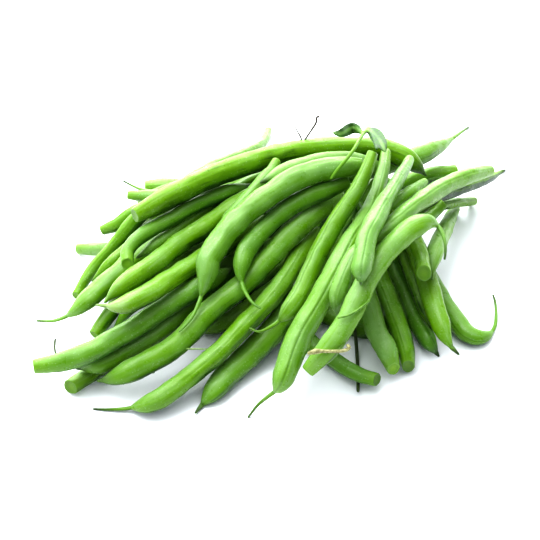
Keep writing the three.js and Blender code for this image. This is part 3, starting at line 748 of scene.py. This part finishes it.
plainLooks = {
    "curlGreen": {"dark": (0.060, 0.160, 0.005, 1), "light": (0.130, 0.270, 0.030, 1),
                  "scale": 500.0, "roughness": 0.45, "bumpHeight": 0.1 * mm},
    "tendril": {"dark": (0.03, 0.022, 0.018, 1), "light": (0.09, 0.07, 0.055, 1),
                "scale": 900.0, "roughness": 0.6, "bumpHeight": 0.05 * mm},
    "paleString": {"dark": (0.15, 0.27, 0.06, 1), "light": (0.30, 0.40, 0.17, 1),
                   "scale": 900.0, "roughness": 0.6, "bumpHeight": 0.05 * mm},
    "dryStalk": {"dark": (0.16, 0.15, 0.05, 1), "light": (0.38, 0.38, 0.19, 1),
                 "scale": 900.0, "roughness": 0.65, "bumpHeight": 0.15 * mm},
    "darkStalk": {"dark": (0.018, 0.030, 0.006, 1), "light": (0.055, 0.085, 0.022, 1),
                  "scale": 900.0, "roughness": 0.55, "bumpHeight": 0.15 * mm},
}
skinMaterial = makeSkin()
cutMaterial = makeCut()
leafMaterial = makeLeaf()
waterMaterial = makeWater()
plain = {name: makePlain(name, look) for name, look in plainLooks.items()}
print("materials made")

# Pods

solidSides = 8  # corners in each ring of a pod's solid


def ringsOf(node):
    # the solid is a fan, then rings of corners, then a fan; the walk goes from pole to pole
    mesh = bmesh.new()
    mesh.from_mesh(frame["nodes"][node].data)
    bmesh.ops.remove_doubles(mesh, verts=mesh.verts, dist=weldDistance)
    poles = [corner for corner in mesh.verts if len(corner.link_edges) == solidSides]
    seen = {poles[0]}
    level = [poles[0]]
    rings = []
    while level:
        following = []
        for corner in level:
            for edge in corner.link_edges:
                other = edge.other_vert(corner)
                if other not in seen:
                    seen.add(other)
                    following.append(other)
        if len(following) == solidSides:
            rings.append([corner.co.copy() for corner in following])
        level = following
    mesh.free()
    return rings


def radiusOf(ring):
    centre = sum(ring, Vector()) / len(ring)
    return max((corner - centre).length for corner in ring)


def railMesh(name, points):
    mesh = bpy.data.meshes.new("rail_" + name)
    mesh.from_pydata(points, [(index, index + 1) for index in range(len(points) - 1)], [])
    return mesh


def makeRail(node):
    rings = ringsOf(node)
    if radiusOf(rings[0]) < radiusOf(rings[-1]):
        rings.reverse()
    centres = [sum(ring, Vector()) / len(ring) for ring in rings]
    middle = len(rings) // 2
    directions = [None] * len(rings)
    longest = max(rings[middle], key=lambda corner: (corner - centres[middle]).length)
    directions[middle] = (longest - centres[middle]).normalized()
    for order in (range(middle - 1, -1, -1), range(middle + 1, len(rings))):
        known = directions[middle]
        for index in order:
            near = max(rings[index], key=lambda corner: (corner - centres[index]).normalized().dot(known))
            known = (near - centres[index]).normalized()
            directions[index] = known
    mesh = railMesh(node, centres)
    width = mesh.attributes.new("halfWidth", "FLOAT", "POINT")
    seam = mesh.attributes.new("seamDirection", "FLOAT_VECTOR", "POINT")
    for index, ring in enumerate(rings):
        width.data[index].value = radiusOf(ring)
        seam.data[index].vector = directions[index]
    return mesh


def carry(name, mesh):
    carrier = bpy.data.objects.new("carrier_" + name, mesh)
    scene.collection.objects.link(carrier)
    return carrier


def bake(carrier, name):
    # the modifier's result becomes a plain mesh of its own
    evaluated = carrier.evaluated_get(bpy.context.evaluated_depsgraph_get())
    mesh = bpy.data.meshes.new_from_object(evaluated)
    bpy.data.objects.remove(carrier)
    mesh.name = name
    piece = bpy.data.objects.new(name, mesh)
    scene.collection.objects.link(piece)
    return piece


def shapedBy(carrier, name, tree, identifiers, values):
    # the piece that the tree makes of the carrier's mesh
    modifier = carrier.modifiers.new(tree.name, "NODES")
    modifier.node_group = tree
    for key, value in values.items():
        modifier[identifiers[key]] = value
    return bake(carrier, name)


def dress(piece, node):
    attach(piece, "root")
    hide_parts(node)


def addNumber(mesh, name, value):
    layer = mesh.attributes.new(name, "FLOAT", "POINT")
    layer.data.foreach_set("value", [value] * len(mesh.vertices))


# tone runs from 0, deep green, to 1, pale. coolness turns it from yellow-green to blue-green.
# swell is how much the seeds show, tail how dark the tail is and blush how pale its root is.
# seam is how clear the seam is, lean how slanted the cut, cut how fresh its face and drops how wet the pod.
podLooks = {
    "pod_top_1": {"tone": 0.36, "swell": 0.02, "coolness": 0.0, "seam": 0.05, "lean": 0.5},
    "pod_middle_1": {"tone": 0.80, "swell": 0.02, "coolness": 0.2},
    "pod_middle_2": {"tone": 1.00, "swell": 0.03, "coolness": 0.0},
    "pod_middle_3": {"tone": 0.58, "swell": 0.03, "coolness": 0.3, "tail": 0.3, "seam": 0.5, "drops": 1.0},
    "pod_middle_4": {"tone": 0.78, "swell": 0.09, "coolness": 0.2, "tail": 0.1, "seam": 0.1,
                     "drops": 0.9, "waviness": 0.30},
    "pod_middle_5": {"drops": 0.5, "tone": 0.62, "swell": 0.03, "coolness": 0.0, "tail": 0.4, "seam": 0.6},
    "pod_middle_6": {"tone": 0.66, "swell": 0.05, "coolness": 0.1, "tail": 0.7, "seam": 0.6},
    "pod_middle_7": {"drops": 0.5, "tone": 0.70, "swell": 0.03, "coolness": 0.1, "tail": 0.8, "seam": 0.15,
                     "lean": 0.3},
    "pod_middle_8": {"tone": 0.75, "swell": 0.03, "coolness": 0.1, "seam": 0.3},
    "pod_middle_9": {"drops": 0.5, "tone": 0.88, "swell": 0.03, "coolness": 0.3, "tail": 0.6, "seam": 0.5},
    "pod_left_3": {"tone": 0.35, "swell": 0.02, "coolness": 0.1},
    "pod_left_5": {"tone": 0.55, "swell": 0.02, "coolness": 0.0, "lean": 0.5},
    "pod_left_6": {"tone": 0.58, "swell": 0.05, "coolness": 0.1, "tail": 0.7},
    "pod_left_7": {"tone": 0.52, "swell": 0.02, "coolness": 0.35, "seam": 0.5, "lean": 0.7, "drops": 0.5},
    "pod_left_9": {"tone": 0.62, "swell": 0.03, "coolness": 0.2, "seam": 0.1},
    "pod_left_10": {"tone": 0.50, "swell": 0.03, "coolness": 0.3, "seam": 0.1, "cut": 0.9},
    "pod_left_11": {"tone": 0.56, "swell": 0.05, "coolness": 0.15, "seam": 0.2, "drops": 0.7},
    "pod_left_12": {"tone": 0.50, "swell": 0.03, "coolness": 0.0, "tail": 0.2, "seam": 0.1, "drops": 0.8},
    "pod_left_13": {"tone": 0.52, "swell": 0.03, "coolness": 0.0, "tail": 0.1, "blush": 0.35, "seam": 0.1},
    "pod_front_2": {"drops": 0.5, "tone": 0.52, "swell": 0.03, "coolness": 0.2, "tail": 0.8, "seam": 0.2},
    "pod_front_3": {"drops": 0.8, "tone": 0.50, "swell": 0.03, "coolness": 0.1, "tail": 0.9, "seam": 0.15},
    "pod_right_1": {"tone": 0.45, "swell": 0.02, "coolness": 0.4, "lean": 0.3, "cut": 0.2},
    "pod_right_2": {"tone": 0.50, "swell": 0.02, "coolness": 0.3, "tail": 0.8, "seam": 0.6},
    # pod_right_4 here, and pod_right_3 and pod_right_5 below, get a deep tone as painted shade: they lie in
    # the shade at the heap's right
    "pod_right_4": {"tone": 0.14, "swell": 0.04, "coolness": 0.5, "tail": 1.0},
    "pod_right_6": {"tone": 0.40, "swell": 0.03, "coolness": 0.0, "tail": 1.0},
    "pod_right_7": {"tone": 0.32, "swell": 0.04, "coolness": 0.2, "lean": 0.8, "cut": 0.35, "drops": 0.6},
    "pod_right_8": {"tone": 0.85, "swell": 0.03, "coolness": 0.1, "lean": 0.9, "cut": 1.0},
    "pod_right_13": {"tone": 0.42, "swell": 0.02, "coolness": 0.0, "lean": 0.6},
    # pod_right_10 gets a pale tone as painted light, against the shade that its neighbours cast on it
    "pod_right_10": {"tone": 0.66, "swell": 0.02, "coolness": 0.0},
    "pod_back_2": {"tone": 0.5, "tail": 1.0},
    # painted shade: these two lie in the shade at the heap's right
    "pod_right_3": {"tone": 0.06},
    "pod_right_5": {"tone": 0.06},
    "pod_right_11": {"tone": 0.28, "swell": 0.02, "coolness": 0.0, "tail": 1.0},
    "pod_back_1": {"tone": 1.20, "swell": 0.01, "coolness": 0.0},
}
# pods of the pod_dark slot draw a deep tone as painted shade, for the shade they lie in deep in the heap
toneOfSlot = {"pod": (0.36, 0.64), "pod_pale": (0.74, 0.92), "pod_dark": (0.0, 0.12)}
# what a pod without a value of its own draws, in this order
podRanges = {
    "swell": (0.015, 0.06),
    "spacing": (10.5, 14.0),  # mm from seed to seed
    "offset": (0.0, 1.0),
    "tail": (0.35, 0.95),
    "waviness": (0.18, 0.28),
    "coolness": (0.0, 0.25),
    "seam": (0.0, 0.3),
    "lean": (0.0, 0.4),
    "cut": (0.4, 0.8),
}
# names under which the skin and the cut read a pod's own values
podNumbers = {
    "podTone": "tone",
    "tailTone": "tail",
    "podCoolness": "coolness",
    "podBlush": "blush",
    "podSeam": "seam",
    "cutTone": "cut",
}

podTree, podIds = makePodTree()
slotOfNode = {part["node"]: part["material_slot"] for part in frame["record"]["subparts"]}
podNodes = [node for node in slotOfNode if node.startswith("pod_")]
draw = random.Random(41)

for node in podNodes:
    look = {"tone": draw.uniform(*toneOfSlot[slotOfNode[node]]), "blush": 0.0, "drops": 0.0}
    for key, limits in podRanges.items():
        look[key] = draw.uniform(*limits)
    look.update(podLooks.get(node, {}))
    piece = shapedBy(carry(node, makeRail(node)), node.replace("pod_", "bean_"), podTree, podIds, {
        "around": podShape["aroundSteps"],
        "rows": podShape["bodyRows"],
        "swell": look["swell"],
        "spacing": look["spacing"] * mm,
        "offset": look["offset"],
        "waviness": look["waviness"],
        "seamDepth": podShape["seamGroove"] * (podShape["seamLeast"] + podShape["seamGain"] * look["seam"]),
        "cutLean": look["lean"],
        "low": [value + boxMargin for value in cadBox[0]],
        "high": [value - boxMargin for value in cadBox[1]],
        "skin": skinMaterial,
        "cut": cutMaterial,
        "water": waterMaterial,
        "dropDensity": look["drops"] * dropLook["perSquareMetre"],
        "dropSize": dropLook["largestRadius"],
    })
    for name, key in podNumbers.items():
        addNumber(piece.data, name, look[key])
    dress(piece, node)
print("pods made:", len(podNodes))

# Sprig and stalks: the solids, made finer and smooth


def inflate(mesh, amounts):
    # smoothing makes a thin stalk thinner, so its corners move out again, inside the solids' box
    normals = [corner.normal.copy() for corner in mesh.vertices]
    for corner, normal, amount in zip(mesh.vertices, normals, amounts):
        moved = corner.co + normal * amount
        for axis in range(3):
            moved[axis] = min(max(moved[axis], cadBox[0][axis] + boxMargin), cadBox[1][axis] - boxMargin)
        corner.co = moved


def softened(node, name, material, swell=0.0):
    mesh = frame["nodes"][node].data.copy()
    mesh.materials.clear()
    mesh.materials.append(material)
    work = bmesh.new()
    work.from_mesh(mesh)
    bmesh.ops.remove_doubles(work, verts=work.verts, dist=weldDistance)
    work.to_mesh(mesh)
    work.free()
    carrier = carry(node, mesh)
    finer = carrier.modifiers.new("finer", "SUBSURF")
    finer.levels = 2
    finer.render_levels = 2
    piece = bake(carrier, name)
    for polygon in piece.data.polygons:
        polygon.use_smooth = True
    if swell:
        inflate(piece.data, [swell] * len(piece.data.vertices))
    dress(piece, node)
    return piece


sprigShape = {
    "stalkSwell": 0.18 * mm,  # the stalk stays as thick as its solid
    "stalkReach": 1.9 * mm,
    "stalkClearness": 3,
    "ribReach": 1.0 * mm,
    "ribClearness": 1.6,
}
# middle lines of the sprig's strokes, in mm: the stalk, then each leaf's midrib
sprigStalk = [
    (21.4, -3.5, 59.1), (23.1, -3.0, 62.4), (25.1, -1.7, 64.9), (29.3, 1.8, 68.2), (31.3, 5.5, 67.7),
    (33.0, 8.8, 67.4), (34.4, 17.0, 62.4), (35.2, 21.3, 60.6), (36.7, 24.7, 59.6), (38.4, 30.7, 55.4),
]
sprigRibs = [
    [(35.4, 23.1, 60.0), (34.7, 24.9, 59.6), (33.9, 28.3, 57.4), (32.7, 29.9, 56.6), (31.8, 30.7, 56.0),
     (30.4, 28.9, 57.0), (28.9, 25.0, 59.8), (27.4, 22.5, 60.9), (25.9, 21.4, 61.3), (22.9, 24.2, 59.3)],
    [(38.5, 31.1, 54.7), (39.4, 25.5, 59.3), (40.6, 20.9, 62.1), (41.8, 15.6, 65.1), (42.7, 10.0, 68.0),
     (43.5, 5.5, 69.4), (44.4, 3.4, 68.3)],
]


def nearness(place, line, reach):
    # 1 on the line, falling to 0 at reach
    points = [Vector(point) * mm for point in line]
    least = reach
    for first, last in zip(points, points[1:]):
        foot, share = geometry.intersect_point_line(place, first, last)
        foot = first.lerp(last, min(1.0, max(0.0, share)))
        least = min(least, (place - foot).length)
    return 1.0 - least / reach


def makeSprigPiece():
    piece = softened("sprig", "leafSprig", leafMaterial)
    rib = piece.data.attributes.new("ribShare", "FLOAT", "POINT")
    stalk = piece.data.attributes.new("stalkShare", "FLOAT", "POINT")
    amounts = []
    for corner in piece.data.vertices:
        onRib = max(nearness(corner.co, line, sprigShape["ribReach"]) for line in sprigRibs)
        onStalk = nearness(corner.co, sprigStalk, sprigShape["stalkReach"])
        onStalk = min(1.0, onStalk * sprigShape["stalkClearness"])
        rib.data[corner.index].value = min(1.0, onRib * sprigShape["ribClearness"])
        stalk.data[corner.index].value = onStalk
        amounts.append(onStalk * sprigShape["stalkSwell"])
    inflate(piece.data, amounts)


makeSprigPiece()
softened("stalk_dry", "dryStalk", plain["dryStalk"], 0.15 * mm)
softened("stalk_dark", "darkStalk", plain["darkStalk"])
softened("stalk_thin", "thinStalk", plain["darkStalk"], 0.1 * mm)
softened("stalk_curl", "curlStalk", plain["curlGreen"], 0.12 * mm)
print("sprig and stalks made")

# threads that lie over the solids, each with its rail in mm
threadLooks = {
    "tendrilShort": {
        "rail": [(9.5, 27.8, 49.0), (9.1, 29.7, 50.6), (7.8, 31.5, 52.2), (6.5, 33.3, 53.8)],
        "radius": 0.42 * mm, "tip": 0.6, "material": "tendril", "slot": "dry_stalk",
    },
    "tendrilHooked": {
        "rail": [(9.8, 27.8, 49.0), (13.5, 32.0, 52.6), (15.7, 34.6, 54.9), (16.1, 36.5, 56.5),
                 (17.3, 36.7, 56.7)],
        "radius": 0.34 * mm, "tip": 1.5, "material": "tendril", "slot": "dry_stalk",
    },
    "paleString": {
        "rail": [(-42.0, -64.6, 20.6), (-40.0, -64.2, 19.6), (-37.0, -64.0, 19.2), (-31.0, -63.6, 18.6)],
        "radius": 0.45 * mm, "tip": 0.45, "material": "paleString", "slot": "pod_pale",
    },
}
threadTree, threadIds = makeThreadTree()
for name, look in threadLooks.items():
    mesh = railMesh(name, [Vector(point) * mm for point in look["rail"]])
    piece = shapedBy(carry(name, mesh), name, threadTree, threadIds, {
        "radius": look["radius"],
        "tipShare": look["tip"],
        "material": plain[look["material"]],
    })
    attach(piece, "root")
print("threads made:", len(threadLooks))

# Table and light

stageLook = {
    "tableSize": 6.0,
    "tableColour": (0.92, 0.94, 0.98, 1),
    "tableDim": (0.89, 0.92, 0.97, 1),  # faint patches of it
    "tableRoughness": 0.7,
    "skyBright": (1.0, 1.0, 1.0, 1),
    "skyDim": (0.08, 0.09, 0.11, 1),
    "brightSide": (-0.30, 0.50, 0.81),  # the sky is brightest this way
    "skyStrength": 1.95,
}


def makeTable():
    half = stageLook["tableSize"] / 2
    corners = [(-half, -half, 0), (half, -half, 0), (half, half, 0), (-half, half, 0)]
    mesh = bpy.data.meshes.new("table")
    mesh.from_pydata(corners, [], [(0, 1, 2, 3)])
    table = bpy.data.objects.new("table", mesh)
    scene.collection.objects.link(table)
    material, tree, shader = newMaterial("tableWhite")
    patches = ramp(tree, noiseAt(tree, ownPlace(tree), 3.0, 2.0), 0.3, 0.7, 0.0, 0.15)
    colour = mixColour(tree, patches, stageLook["tableColour"], stageLook["tableDim"])
    plug(tree, colour, shader.inputs["Base Color"])
    shader.inputs["Roughness"].default_value = stageLook["tableRoughness"]
    mesh.materials.append(material)


# places and sizes in metres; each light faces the heap
softLights = {
    "behind": {"place": (-0.35, 1.60, 0.75), "size": (2.6, 1.3),
               "watts": 46.0, "colour": (0.93, 0.98, 1.0)},
    "above": {"place": (-0.45, 0.25, 1.50), "size": (1.2, 1.0),
              "watts": 20.0, "colour": (0.96, 1.0, 1.0)},
}


def makeLights():
    for name, look in softLights.items():
        data = bpy.data.lights.new(name, "AREA")
        data.shape = "RECTANGLE"
        data.size, data.size_y = look["size"]
        data.energy = look["watts"]
        data.color = look["colour"]
        lamp = bpy.data.objects.new(name, data)
        lamp.location = look["place"]
        lamp.rotation_euler = (-Vector(look["place"])).to_track_quat("-Z", "Y").to_euler()
        lamp.visible_camera = False
        scene.collection.objects.link(lamp)
    world = bpy.data.worlds.new("softRoom")
    world.use_nodes = True
    tree = world.node_tree
    direction = addNode(tree, "ShaderNodeTexCoord").outputs["Generated"]
    towards = vecCalc(tree, "DOT_PRODUCT", direction, stageLook["brightSide"])
    sky = mixColour(tree, ramp(tree, towards, -0.1, 0.95), stageLook["skyDim"], stageLook["skyBright"])
    back = tree.nodes["Background"]
    plug(tree, sky, back.inputs["Color"])
    back.inputs["Strength"].default_value = stageLook["skyStrength"]
    scene.world = world


makeTable()
makeLights()
print("table and light made")
